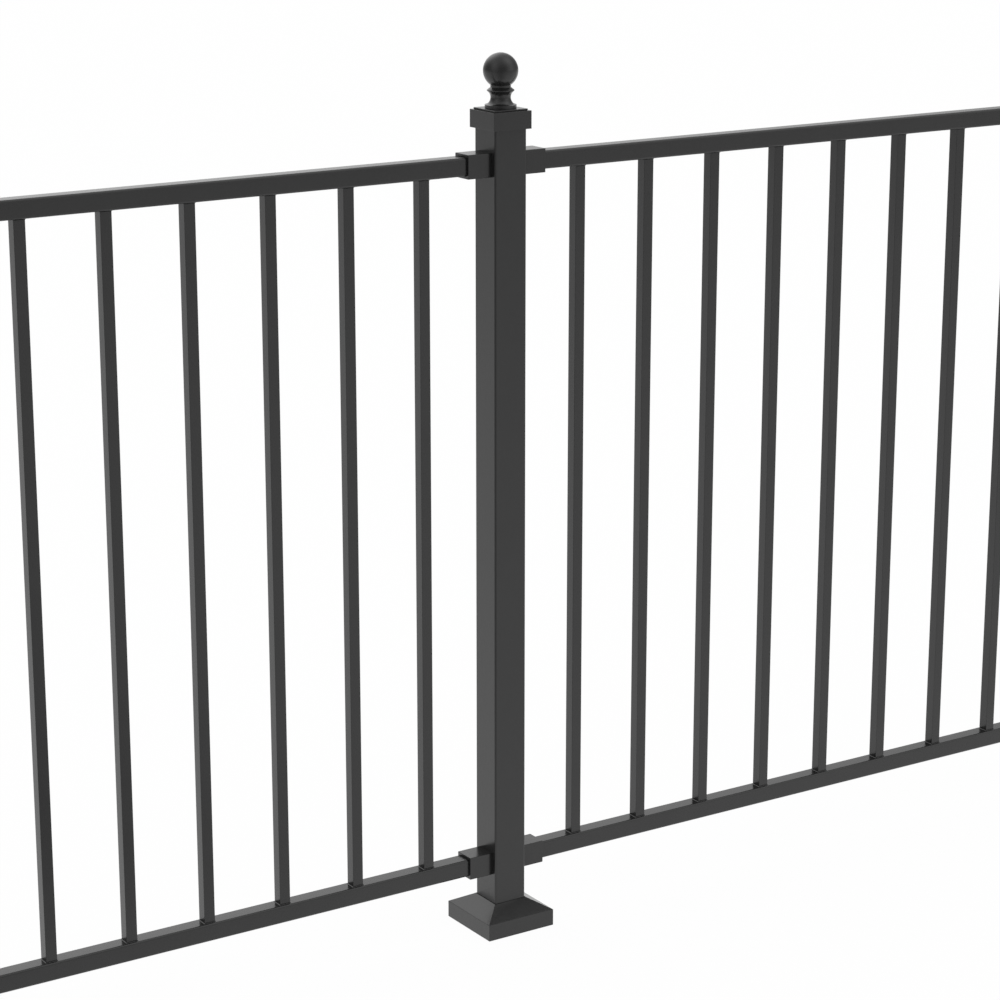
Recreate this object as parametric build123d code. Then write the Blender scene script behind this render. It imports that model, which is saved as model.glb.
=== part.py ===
from build123d import *

import math
import os

# Steel railing of two bays: welded baluster panels held in collar brackets by three posts with ball caps.
# X runs along the rails, Y across the railing and Z up. The origin is on the ground, under the centre
# of the middle post. All sizes are in millimetres.

# Bays: each panel fills the clear width between two posts
bay_clear = 1828.8
panel_height = 1031.0
ground_gap = 86.6
baluster_count = 15
baluster_margin = 101.1  # from a post's face to the centre of the nearest baluster

# Posts: square tube, welded on a plate that is bolted down
post_size = 50.8
post_wall = 2.0
post_corner = 2.5
post_above_rail = 53.9
plate_size = 101.6
plate_thickness = 9.5
plate_corner = 6.0
anchor_inset = 12.7  # from the plate's edges to the centre of an anchor hole
anchor_hole_radius = 5.5

# Panels: square tubes, the balusters let into punched rails and welded
rail_size = 25.4
rail_wall = 1.5
rail_corner = 3.0
baluster_size = 15.875
baluster_wall = 1.2
baluster_entry = 2.0  # how far a baluster stands inside the rail, past its wall

# Brackets: collars on the posts, each holding one rail end
collar_wall = 3.4
collar_back = 3.0
collar_length = 36.8
collar_corner = 1.0
rail_clearance = 0.4
rail_end_gap = 0.8

# Base covers: sheet skirts that slide down the post and hide its plate
cover_wall = 2.5
cover_side = 24.0
cover_height = 40.2
cover_plate_gap = 1.7
cover_post_gap = 0.5

# Ball caps: castings that sit over the post's end
cap_wall = 4.4
cap_roof = 4.8
cap_skirt = 24.5
cap_clearance = 0.4
cap_corner = 1.0
cap_step_size = 53.0
cap_step_height = 2.4

# Finial on the cap: foot disc, hollow moulding, sharp ring, neck and ball
foot_radius = 21.55
foot_height = 4.8
hollow_foot_radius = 19.5
waist_radius = 13.75
waist_rise = 9.6
hollow_top_rise = 6.05
ring_radius = 19.15
ring_lower_height = 3.35
ring_upper_height = 4.15
neck_radius = 13.9
neck_length = 3.0
ball_radius = 23.85

# Places that follow from the sizes above
post_pitch = bay_clear + post_size
rail_top = ground_gap + panel_height
post_top = rail_top + post_above_rail
rail_heights = {"top": rail_top - rail_size / 2, "bottom": ground_gap + rail_size / 2}
cap_top = post_top + cap_roof


def square_section(size, wall, corner):
    """Section of a rolled square tube. Its inner corners are round where the wall leaves them so."""
    bore = size - 2 * wall
    inner = RectangleRounded(bore, bore, corner - wall) if corner > wall else Rectangle(bore, bore)
    return RectangleRounded(size, size, corner) - inner


def make_post():
    section = square_section(post_size, post_wall, post_corner)
    return Pos(Z=plate_thickness) * extrude(section, amount=post_top - plate_thickness)


def make_base_plate():
    reach = plate_size / 2 - anchor_inset
    outline = RectangleRounded(plate_size, plate_size, plate_corner)
    for x, y in ((-reach, -reach), (reach, -reach), (reach, reach), (-reach, reach)):
        outline -= Pos(x, y) * Circle(anchor_hole_radius)
    return extrude(outline, amount=plate_thickness)


def make_base_cover():
    """Skirt with upright sides and four slopes that close in on the post, open underneath."""
    size = plate_size + 2 * (cover_plate_gap + cover_wall)
    opening = post_size + 2 * cover_post_gap
    run = (size - opening) / 2
    rise = cover_height - cover_side
    slope_drop = cover_wall * math.hypot(run, rise) / run
    inner_size = size - 2 * cover_wall
    inner_side = cover_side + cover_wall * rise / run - slope_drop

    skin = extrude(Rectangle(size, size), amount=cover_side)
    skin += loft([
        Pos(Z=cover_side) * Rectangle(size, size),
        Pos(Z=cover_height) * Rectangle(opening, opening),
    ])
    inside = extrude(Rectangle(inner_size, inner_size), amount=inner_side)
    inside += loft([
        Pos(Z=inner_side) * Rectangle(inner_size, inner_size),
        Pos(Z=cover_height - slope_drop) * Rectangle(opening, opening),
    ])
    shaft = extrude(RectangleRounded(opening, opening, post_corner + cover_post_gap), amount=cover_height)
    return skin - inside - shaft


def finial_profile():
    """Half outline of the finial, from its foot on the cap up to the crown of the ball."""
    hollow_spread = hollow_foot_radius - waist_radius
    hollow_radius = (hollow_spread**2 + waist_rise**2) / (2 * hollow_spread)
    waist_height = foot_height + waist_rise
    foot_angle = math.degrees(math.asin(waist_rise / hollow_radius))
    top_angle = math.degrees(math.asin(hollow_top_rise / hollow_radius))
    hollow = CenterArc((waist_radius + hollow_radius, waist_height), hollow_radius, 180 + foot_angle,
                       -foot_angle - top_angle)
    ring_height = waist_height + hollow_top_rise + ring_lower_height
    neck_height = ring_height + ring_upper_height
    ball_start = neck_height + neck_length
    ball_height = ball_start + math.sqrt(ball_radius**2 - neck_radius**2)
    join_angle = math.degrees(math.acos(neck_radius / ball_radius))
    ball = CenterArc((0, ball_height), ball_radius, -join_angle, 90 + join_angle)

    foot = Polyline((0, 0), (foot_radius, 0), (foot_radius, foot_height), hollow @ 0)
    ring = Polyline(hollow @ 1, (ring_radius, ring_height), (neck_radius, neck_height), ball @ 0)
    return make_face(foot + hollow + ring + ball + Line(ball @ 1, (0, 0)))


def make_ball_cap():
    """Casting with a square sleeve over the post's end, a raised square step and a turned finial."""
    bore = post_size + 2 * cap_clearance
    sleeve = bore + 2 * cap_wall
    cap = extrude(RectangleRounded(sleeve, sleeve, cap_corner), amount=cap_skirt)
    step = extrude(RectangleRounded(cap_step_size, cap_step_size, cap_corner), amount=cap_step_height)
    finial = revolve(Plane.XZ * finial_profile(), Axis.Z)
    cap = Pos(Z=-cap_skirt) * cap + step + Pos(Z=cap_step_height) * finial
    socket = RectangleRounded(bore, bore, post_corner + cap_clearance)
    cap -= Pos(Z=-cap_skirt) * extrude(socket, amount=cap_skirt - cap_roof)
    return Pos(Z=cap_top) * cap


def make_bracket():
    """Collar that stands out along +X from a post's face at the origin, with its mouth around the rail."""
    socket_size = rail_size + 2 * rail_clearance
    collar_size = socket_size + 2 * collar_wall
    outline = Plane.YZ * RectangleRounded(collar_size, collar_size, collar_corner)
    socket = Plane.YZ * RectangleRounded(socket_size, socket_size, rail_corner + rail_clearance)
    return extrude(outline, amount=collar_length) - Pos(X=collar_back) * extrude(socket, amount=collar_length)


def make_panel():
    """Two rails and their balusters as one welding, centred on X in its bay."""
    rail_length = bay_clear - 2 * (collar_back + rail_end_gap)
    rail = extrude(Plane.YZ * square_section(rail_size, rail_wall, rail_corner), amount=rail_length)
    rails = [Pos(-rail_length / 2, 0, height) * rail for height in rail_heights.values()]

    sunk = rail_wall + baluster_entry
    foot = ground_gap + rail_size - sunk
    length = panel_height - 2 * (rail_size - sunk)
    bore_size = baluster_size - 2 * baluster_wall
    bar = extrude(Rectangle(baluster_size, baluster_size), amount=length)
    bore = extrude(Rectangle(bore_size, bore_size), amount=length)
    pitch = (bay_clear - 2 * baluster_margin) / (baluster_count - 1)
    places = [Pos((i - (baluster_count - 1) / 2) * pitch, 0, foot) for i in range(baluster_count)]
    return rails[0] + rails[1:] + [place * bar for place in places] - [place * bore for place in places]


def save(node, shape):
    export_step(shape, f"parts/{node}.step")


os.makedirs("parts", exist_ok=True)

posts = {"left": -post_pitch, "middle": 0, "right": post_pitch}
post_pieces = {
    "post": make_post(),
    "base_plate": make_base_plate(),
    "base_cover": make_base_cover(),
    "ball_cap": make_ball_cap(),
}
for side, x in posts.items():
    for piece, shape in post_pieces.items():
        save(f"{side}_{piece}", Pos(X=x) * shape)

bays = {"left": ("left", "middle"), "right": ("middle", "right")}
panel = make_panel()
bracket = make_bracket()
for bay, (start, end) in bays.items():
    save(f"{bay}_panel", Pos(X=(posts[start] + posts[end]) / 2) * panel)
    for level, z in rail_heights.items():
        left_place = Pos(posts[start] + post_size / 2, 0, z)
        right_place = Pos(posts[end] - post_size / 2, 0, z) * Rot(Z=180)
        save(f"{bay}_panel_{level}_left_bracket", left_place * bracket)
        save(f"{bay}_panel_{level}_right_bracket", right_place * bracket)
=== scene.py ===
import math

import bmesh
import bpy
from mathutils import Matrix, Vector


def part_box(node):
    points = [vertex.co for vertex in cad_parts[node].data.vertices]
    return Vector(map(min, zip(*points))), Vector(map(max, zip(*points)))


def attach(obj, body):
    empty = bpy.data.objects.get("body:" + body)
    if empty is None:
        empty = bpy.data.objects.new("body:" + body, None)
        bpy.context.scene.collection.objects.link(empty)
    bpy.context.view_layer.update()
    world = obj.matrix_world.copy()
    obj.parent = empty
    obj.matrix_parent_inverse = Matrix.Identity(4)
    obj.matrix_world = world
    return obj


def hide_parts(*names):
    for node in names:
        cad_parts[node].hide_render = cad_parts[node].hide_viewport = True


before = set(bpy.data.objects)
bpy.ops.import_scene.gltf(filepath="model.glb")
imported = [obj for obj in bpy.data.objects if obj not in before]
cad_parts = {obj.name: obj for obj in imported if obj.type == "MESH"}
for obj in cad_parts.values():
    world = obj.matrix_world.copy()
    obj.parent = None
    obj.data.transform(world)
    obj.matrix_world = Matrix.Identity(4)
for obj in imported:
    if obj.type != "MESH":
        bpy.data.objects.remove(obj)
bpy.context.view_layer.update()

# Posts
# Three lengths of 2 in square steel tube, roll-formed with rounded corners and seam-welded. They are sprayed
# with black polyester powder and baked, which leaves a satin skin with a faint orange-peel waviness.
MM = 0.001
POST_SIDES = ("left", "middle", "right")


def linear(hex_colour):
    """Linear RGBA of an sRGB hex colour."""
    parts = [int(hex_colour[i:i + 2], 16) / 255 for i in (1, 3, 5)]
    return [p / 12.92 if p <= 0.04045 else ((p + 0.055) / 1.055) ** 2.4 for p in parts] + [1.0]


def add_node(tree, kind, inputs=(), **settings):
    """Adds a node with its settings. An input given as a socket is linked, and any other is set."""
    node = tree.nodes.new(kind)
    for name, value in settings.items():
        setattr(node, name, value)
    for socket, value in dict(inputs).items():
        if isinstance(value, bpy.types.NodeSocket):
            tree.links.new(value, node.inputs[socket])
        else:
            node.inputs[socket].default_value = value
    return node


def powder_coat(name, dark, light, roughness, peel_spacing, peel_height):
    """Baked black powder: near-black, with soft drifts of tone and sheen, over a wavy orange-peel skin."""
    drift_spacing = 45 * MM
    coat = bpy.data.materials.new(name)
    coat.use_nodes = True
    tree = coat.node_tree
    tree.nodes.clear()
    place = add_node(tree, "ShaderNodeTexCoord").outputs["Object"]
    drift = add_node(tree, "ShaderNodeTexNoise", {"Vector": place, "Scale": 1 / drift_spacing, "Detail": 3.0})
    tone = add_node(tree, "ShaderNodeValToRGB", {"Fac": drift.outputs["Fac"]})
    tone.color_ramp.elements[0].color = linear(dark)
    tone.color_ramp.elements[1].color = linear(light)
    sheen = add_node(tree, "ShaderNodeMapRange", {
        "Value": drift.outputs["Fac"], "To Min": roughness[0], "To Max": roughness[1],
    })
    peel = add_node(tree, "ShaderNodeTexNoise", {"Vector": place, "Scale": 1 / peel_spacing, "Detail": 1.0})
    waves = add_node(tree, "ShaderNodeBump", {"Height": peel.outputs["Fac"], "Distance": peel_height})
    skin = add_node(tree, "ShaderNodeBsdfPrincipled", {
        "Base Color": tone.outputs["Color"],
        "Roughness": sheen.outputs["Result"],
        "Normal": waves.outputs["Normal"],
        "IOR": 1.5,
    })
    add_node(tree, "ShaderNodeOutputMaterial", {"Surface": skin.outputs["BSDF"]})
    return coat


tube_coat = powder_coat("black_powder_on_tube", "#181818", "#202020", roughness=(0.22, 0.26),
                        peel_spacing=4 * MM, peel_height=0.004 * MM)
for side in POST_SIDES:
    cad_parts[f"{side}_post"].material_slots[0].material = tube_coat

# Base plates
# Flame-cut squares of 3/8 in hot-rolled plate, welded under the posts, with a hole for an anchor near each
# corner. They get the same powder, which stays rougher over the mill scale.
plate_coat = powder_coat("black_powder_on_plate", "#141414", "#1b1b1b", roughness=(0.40, 0.50),
                         peel_spacing=2.5 * MM, peel_height=0.03 * MM)
for side in POST_SIDES:
    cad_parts[f"{side}_base_plate"].material_slots[0].material = plate_coat

# Base covers
# Skirts of pressed sheet with upright sides and four slopes, powder-coated like the posts. Each slides down
# its post and sits loose on the ground around the plate, with crisp but rounded bends.
cover_wall = 2.5 * MM
cover_side = 24.0 * MM
opening_half = 25.9 * MM
cover_round = 0.4 * MM


def spun(outline, steps, closed):
    """Spins a half outline of (reach, height) points round the upright axis. Four steps make a square."""
    mesh = bmesh.new()
    stretch = math.sqrt(2) if steps == 4 else 1.0
    start = Matrix.Rotation(math.pi / 4, 3, "Z")
    points = [mesh.verts.new(start @ Vector((stretch * reach, 0, height))) for reach, height in outline]
    lines = [mesh.edges.new(pair) for pair in zip(points, points[1:])]
    if closed:
        lines.append(mesh.edges.new((points[-1], points[0])))
    bmesh.ops.spin(mesh, geom=points + lines, axis=(0, 0, 1), cent=(0, 0, 0), angle=2 * math.pi, steps=steps,
                   use_merge=True)
    bmesh.ops.remove_doubles(mesh, verts=mesh.verts, dist=0.001 * MM)
    bmesh.ops.recalc_face_normals(mesh, faces=mesh.faces)
    return mesh


def round_edges(mesh, edges, radius, segments):
    bmesh.ops.bevel(mesh, geom=edges, offset=radius, segments=segments, profile=0.5, affect="EDGES",
                    material=-1, clamp_overlap=True)


def sharp_edges(mesh, least_angle):
    return [edge for edge in mesh.edges if edge.calc_face_angle(0) > math.radians(least_angle)]


def as_piece(mesh, name, coat):
    """Object of a finished mesh at the origin, with flat faces kept flat beside their rounded edges."""
    data = bpy.data.meshes.new(name)
    mesh.to_mesh(data)
    mesh.free()
    data.shade_smooth()
    data.set_sharp_from_angle(angle=math.radians(50))
    data.materials.append(coat)
    piece = bpy.data.objects.new(name, data)
    bpy.context.scene.collection.objects.link(piece)
    flats = piece.modifiers.new("flat_faces", "WEIGHTED_NORMAL")
    flats.keep_sharp = True
    return piece


cover_coat = powder_coat("black_powder_on_sheet", "#181818", "#202020", roughness=(0.22, 0.26),
                         peel_spacing=4 * MM, peel_height=0.004 * MM)
for side in POST_SIDES:
    low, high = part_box(f"{side}_base_cover")
    half = (high.x - low.x) / 2
    slope = Vector((half - opening_half, high.z - cover_side))
    lip = cover_wall * slope.length / slope.x
    inner_side = cover_side + cover_wall * slope.y / slope.x - lip
    skirt = spun([
        (half, 0),
        (half, cover_side),
        (opening_half, high.z),
        (opening_half, high.z - lip),
        (half - cover_wall, inner_side),
        (half - cover_wall, 0),
    ], steps=4, closed=True)
    round_edges(skirt, sharp_edges(skirt, least_angle=10), cover_round, segments=3)
    bmesh.ops.translate(skirt, verts=skirt.verts, vec=((low.x + high.x) / 2, 0, 0))
    cover = as_piece(skirt, f"{side}_base_cover_skirt", cover_coat)
    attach(cover, "root")
    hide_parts(f"{side}_base_cover")

# Collar brackets
# Die-cast square collars on the posts' faces, with no fixing in sight. Each holds a rail's end in its deep
# socket, with a little play all round. They are powder-coated to match.
socket_depth = 33.8 * MM
socket_wall = 3.4 * MM
socket_corner = 3.4 * MM
collar_corner = 1.0 * MM
collar_round = 0.4 * MM
corner_points = 5


def collar_ring(mesh, x, height, half, corner):
    """Points around a square with round corners, which stands across the rails at x."""
    ring = []
    for quarter in range(4):
        middle = math.radians(90 * quarter + 45)
        y = math.copysign(half - corner, math.cos(middle))
        z = height + math.copysign(half - corner, math.sin(middle))
        for i in range(corner_points):
            angle = math.radians(90 * quarter + 90 * i / (corner_points - 1))
            ring.append(mesh.verts.new((x, y + corner * math.cos(angle), z + corner * math.sin(angle))))
    return ring


casting_coat = powder_coat("black_powder_on_casting", "#181818", "#202020", roughness=(0.22, 0.27),
                           peel_spacing=3 * MM, peel_height=0.005 * MM)
for bay in ("left", "right"):
    for level in ("top", "bottom"):
        for end in ("left", "right"):
            node = f"{bay}_panel_{level}_{end}_bracket"
            low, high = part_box(node)
            half = (high.z - low.z) / 2
            height = (high.z + low.z) / 2
            back, mouth, bottom = low.x, high.x, high.x - socket_depth
            if end == "right":
                back, mouth, bottom = high.x, low.x, low.x + socket_depth
            collar = bmesh.new()
            rings = [
                collar_ring(collar, back, height, half, collar_corner),
                collar_ring(collar, mouth, height, half, collar_corner),
                collar_ring(collar, mouth, height, half - socket_wall, socket_corner),
                collar_ring(collar, bottom, height, half - socket_wall, socket_corner),
            ]
            for ring, following in zip(rings, rings[1:]):
                for i in range(len(ring)):
                    collar.faces.new((ring[i - 1], ring[i], following[i], following[i - 1]))
            collar.faces.new(rings[0])
            collar.faces.new(rings[-1])
            bmesh.ops.recalc_face_normals(collar, faces=collar.faces)
            rim = rings[1]
            rim_edges = [collar.edges.get((rim[i - 1], rim[i])) for i in range(len(rim))]
            round_edges(collar, rim_edges, collar_round, segments=3)
            bracket = as_piece(collar, f"{bay}_panel_{level}_{end}_collar", casting_coat)
            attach(bracket, "root")
            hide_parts(node)

# Panels
# Each is a welding of two 1 in square tubes and fifteen 5/8 in square tubes. The balusters go through punched
# holes into the rails and are welded all round, and the whole panel is powder-coated in one piece.
rail_size = 25.4 * MM
rail_corner = 3.0 * MM
baluster_size = 15.875 * MM
baluster_corner = 0.5 * MM
baluster_count = 15
baluster_inset = 97.3 * MM
baluster_sunk = 3.5 * MM
weld_leg = 1.2 * MM
weld_sunk = 0.2 * MM


def square_bar(mesh, low, high, axis, corner, segments):
    """Adds a bar with its four long edges rounded."""
    low, high = Vector(low), Vector(high)
    made = bmesh.ops.create_cube(mesh, size=1, matrix=Matrix.LocRotScale((low + high) / 2, None, high - low))
    edges = {edge for vert in made["verts"] for edge in vert.link_edges}
    long_edges = [edge for edge in edges
                  if abs(edge.verts[0].co[axis] - edge.verts[1].co[axis]) > (high - low)[axis] / 2]
    round_edges(mesh, long_edges, corner, segments)


for bay in ("left", "right"):
    low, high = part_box(f"{bay}_panel")
    tubes = bmesh.new()
    for rail_low in (low.z, high.z - rail_size):
        square_bar(tubes, (low.x, low.y, rail_low), (high.x, high.y, rail_low + rail_size),
                   axis=0, corner=rail_corner, segments=5)
    first = low.x + baluster_inset
    pitch = (high.x - low.x - 2 * baluster_inset) / (baluster_count - 1)
    foot = low.z + rail_size
    head = high.z - rail_size
    half = baluster_size / 2
    welds = bmesh.new()
    for i in range(baluster_count):
        x = first + i * pitch
        square_bar(tubes, (x - half, -half, foot - baluster_sunk), (x + half, half, head + baluster_sunk),
                   axis=2, corner=baluster_corner, segments=2)
        for height, up in ((foot, 1), (head, -1)):
            made = bmesh.ops.create_cube(welds, size=1)["verts"]
            for vert in made:
                at_tip = vert.co.z > 0
                reach = half if at_tip else half + weld_leg
                vert.co = Vector((x + math.copysign(reach, vert.co.x), math.copysign(reach, vert.co.y),
                                  height + up * (weld_leg if at_tip else -weld_sunk)))
            bead_faces = {face for vert in made for face in vert.link_faces}
            bmesh.ops.recalc_face_normals(welds, faces=list(bead_faces))
    panel = as_piece(tubes, f"{bay}_panel_tubes", tube_coat)
    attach(panel, "root")
    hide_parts(f"{bay}_panel")
    beads = as_piece(welds, f"{bay}_panel_welds", tube_coat)
    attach(beads, "root")

# Ball caps
# Aluminium castings that drop over the posts' ends: a square sleeve, a low step with an undercut edge, and a
# finial of foot disc, hollow moulding, sharp ring, neck and ball. They are powder-coated to match.
sleeve_height = 24.5 * MM
sleeve_wall = 4.4 * MM
sleeve_roof = 4.8 * MM
step_half = 26.5 * MM
step_height = 2.4 * MM
step_undercut = 0.7 * MM
cap_round = 0.4 * MM
foot_radius = 21.55 * MM
foot_height = 4.8 * MM
hollow_foot_radius = 19.5 * MM
waist_radius = 13.75 * MM
waist_rise = 9.6 * MM
hollow_top_rise = 6.05 * MM
ring_radius = 19.15 * MM
ring_lower_height = 3.35 * MM
ring_upper_height = 4.15 * MM
ring_round = 1.0 * MM
neck_radius = 13.9 * MM
neck_length = 3.0 * MM
ball_radius = 23.85 * MM
same_height = 0.01 * MM
rim_width = 0.1 * MM


def arc(centre, radius, start, end, steps):
    """Points of an arc in the half outline, from one angle to another in degrees."""
    angles = [math.radians(start + (end - start) * i / steps) for i in range(steps + 1)]
    return [(centre[0] + radius * math.cos(a), centre[1] + radius * math.sin(a)) for a in angles]


hollow_spread = hollow_foot_radius - waist_radius
hollow_radius = (hollow_spread ** 2 + waist_rise ** 2) / (2 * hollow_spread)
hollow_low = math.degrees(math.asin(waist_rise / hollow_radius))
hollow_high = math.degrees(math.asin(hollow_top_rise / hollow_radius))
for side in POST_SIDES:
    low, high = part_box(f"{side}_ball_cap")
    half = (high.x - low.x) / 2
    sleeve_top = low.z + sleeve_height
    step_top = sleeve_top + step_height
    casting = spun([
        (0, step_top),
        (step_half, step_top),
        (step_half, sleeve_top + step_undercut),
        (step_half - step_undercut, sleeve_top),
        (half, sleeve_top),
        (half, low.z),
        (half - sleeve_wall, low.z),
        (half - sleeve_wall, sleeve_top - sleeve_roof),
        (0, sleeve_top - sleeve_roof),
    ], steps=4, closed=False)
    round_edges(casting, sharp_edges(casting, least_angle=30), cap_round, segments=3)

    foot_top = step_top + foot_height
    waist = foot_top + waist_rise
    ring = waist + hollow_top_rise + ring_lower_height
    neck = ring + ring_upper_height
    ball_centre = neck + neck_length + math.sqrt(ball_radius ** 2 - neck_radius ** 2)
    ball_start = math.degrees(math.acos(neck_radius / ball_radius))
    finial = spun(
        [(0, sleeve_top), (foot_radius, sleeve_top), (foot_radius, foot_top)]
        + arc((waist_radius + hollow_radius, waist), hollow_radius, 180 + hollow_low, 180 - hollow_high,
              steps=12)
        + [(ring_radius, ring), (neck_radius, neck)]
        + arc((0, ball_centre), ball_radius, -ball_start, 90, steps=28),
        steps=72, closed=False)
    rim_edges = [edge for edge in finial.edges
                 if all(abs(vert.co.z - foot_top) < same_height
                        and vert.co.xy.length > foot_radius - rim_width for vert in edge.verts)]
    round_edges(finial, rim_edges, cap_round, segments=3)
    ring_edges = [edge for edge in finial.edges
                  if all(abs(vert.co.z - ring) < same_height for vert in edge.verts)]
    round_edges(finial, ring_edges, ring_round, segments=3)
    turned = bpy.data.meshes.new("finial")
    finial.to_mesh(turned)
    finial.free()
    casting.from_mesh(turned)
    bpy.data.meshes.remove(turned)
    bmesh.ops.translate(casting, verts=casting.verts, vec=((low.x + high.x) / 2, 0, 0))
    cap = as_piece(casting, f"{side}_ball_cap_casting", casting_coat)
    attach(cap, "root")
    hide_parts(f"{side}_ball_cap")

# Floor
# A wide round of matt white paper just under the railing, which takes its shadow. What metal mirrors of it is
# a painted glow, brightest around the middle post and fading slowly away from there, with a painted shade on
# the camera's side.
floor_radius = 40.0
floor_drop = 0.5 * MM
lit_reach = 26.0
lit_level = 1.10
shade_level = 0.6
shade_azimuth = -147
shade_tightness = 6
shade_start = 0.2
shade_full = 1.0
white_share = 0.97
floor_mesh = bmesh.new()
bmesh.ops.create_circle(floor_mesh, cap_ends=True, segments=96, radius=floor_radius,
                        matrix=Matrix.Translation((0, 0, -floor_drop)))
floor_data = bpy.data.meshes.new("studio_floor")
floor_mesh.to_mesh(floor_data)
floor_mesh.free()
studio_floor = bpy.data.objects.new("studio_floor", floor_data)
bpy.context.scene.collection.objects.link(studio_floor)
white_floor = bpy.data.materials.new("matt_white_floor")
white_floor.use_nodes = True
tree = white_floor.node_tree
tree.nodes.clear()


def calculate(tree, operation, *values):
    inputs = dict(enumerate(values))
    return add_node(tree, "ShaderNodeMath", inputs, operation=operation).outputs[0]


def soft_spot(tree, way, azimuth, elevation, tightness, level):
    """Round spot that fades out around one way. Azimuth runs from +Y, beyond the railing, towards +X."""
    turn, lift = math.radians(azimuth), math.radians(elevation)
    centre = (math.sin(turn) * math.cos(lift), math.cos(turn) * math.cos(lift), math.sin(lift))
    near = add_node(tree, "ShaderNodeVectorMath", {0: way, 1: centre}, operation="DOT_PRODUCT")
    power = calculate(tree, "MULTIPLY_ADD", near.outputs["Value"], tightness, -tightness)
    return calculate(tree, "MULTIPLY", calculate(tree, "EXPONENT", power), level)


# Painted light: the glow that metal mirrors in the floor is a painted pool of light round the middle post,
# with a painted shade spot on the camera's side.
place = add_node(tree, "ShaderNodeTexCoord").outputs["Object"]
away = add_node(tree, "ShaderNodeVectorMath", {0: place}, operation="LENGTH").outputs["Value"]
lit = calculate(tree, "EXPONENT", calculate(tree, "MULTIPLY", away, -1 / lit_reach))
way = add_node(tree, "ShaderNodeVectorMath", {0: place}, operation="NORMALIZE").outputs["Vector"]
depth = add_node(tree, "ShaderNodeMapRange", {
    "Value": away, "From Min": shade_start, "From Max": shade_full,
}).outputs["Result"]
shade = soft_spot(tree, way, shade_azimuth, 0, shade_tightness, shade_level)
shade = calculate(tree, "MULTIPLY", depth, shade)
lit = calculate(tree, "MULTIPLY", lit, calculate(tree, "SUBTRACT", lit_level, shade))
rays = add_node(tree, "ShaderNodeLightPath").outputs
mirrored = calculate(tree, "MAXIMUM", rays["Is Glossy Ray"], rays["Is Transmission Ray"])
seen = calculate(tree, "MAXIMUM", rays["Is Camera Ray"], mirrored)
level = calculate(tree, "MAXIMUM", rays["Is Camera Ray"], calculate(tree, "MULTIPLY", mirrored, lit))
matt = add_node(tree, "ShaderNodeBsdfDiffuse", {"Color": linear("#f4f4f4")})
glow = add_node(tree, "ShaderNodeEmission", {"Color": linear("#ffffff"), "Strength": level})
floor_mix = add_node(tree, "ShaderNodeMixShader", {
    0: calculate(tree, "MULTIPLY", seen, white_share), 1: matt.outputs["BSDF"], 2: glow.outputs["Emission"],
})
add_node(tree, "ShaderNodeOutputMaterial", {"Surface": floor_mix.outputs["Shader"]})
floor_data.materials.append(white_floor)

# Light
# A pale grey room with a wide soft light overhead and round soft lights about the railing. Each light has an
# azimuth from +Y towards +X, an elevation, a tightness and a strength. Metal mirrors the room that lights it.
room_level = 0.28
overhead_start = 0.35
zenith_level = 0.75
soft_lights = {
    "backdrop beyond the railing": (22, 16, 9, 0.86),
    "high behind": (-6, 44, 10, 1.2),
    "high on the left": (-88, 46, 13, 0.35),
    "low on the left": (-104, 18, 10, 0.57),
    "high on the right": (130, 53, 10, 0.85),
    "low in front on the right": (140, 3, 7, 0.85),
}
world = bpy.data.worlds.new("studio")
bpy.context.scene.world = world
world.use_nodes = True
tree = world.node_tree
tree.nodes.clear()
way = add_node(tree, "ShaderNodeTexCoord").outputs["Generated"]
height = add_node(tree, "ShaderNodeSeparateXYZ", {0: way}).outputs["Z"]
level = add_node(tree, "ShaderNodeMapRange", {
    "Value": height, "From Min": overhead_start, "To Min": room_level, "To Max": zenith_level,
}).outputs["Result"]
for azimuth, elevation, tightness, strength in soft_lights.values():
    level = calculate(tree, "ADD", level, soft_spot(tree, way, azimuth, elevation, tightness, strength))
studio = add_node(tree, "ShaderNodeBackground", {"Color": linear("#ffffff"), "Strength": level})
add_node(tree, "ShaderNodeOutputWorld", {"Surface": studio.outputs["Background"]})

# Camera
# Stands in front of the left bay at about eye height, as in the photograph.
downward = math.radians(14.965)
rightward = math.radians(33.235)
camera = bpy.data.objects.new("camera", bpy.data.cameras.new("camera"))
camera.location = (-2.0984, -3.2009, 1.6553)
camera.rotation_euler = (math.pi / 2 - downward, 0, -rightward)
camera.data.sensor_width = 36.0
camera.data.lens = 102.19
bpy.context.scene.collection.objects.link(camera)
bpy.context.scene.camera = camera
bpy.context.scene.view_settings.view_transform = "Standard"

bpy.context.view_layer.update()
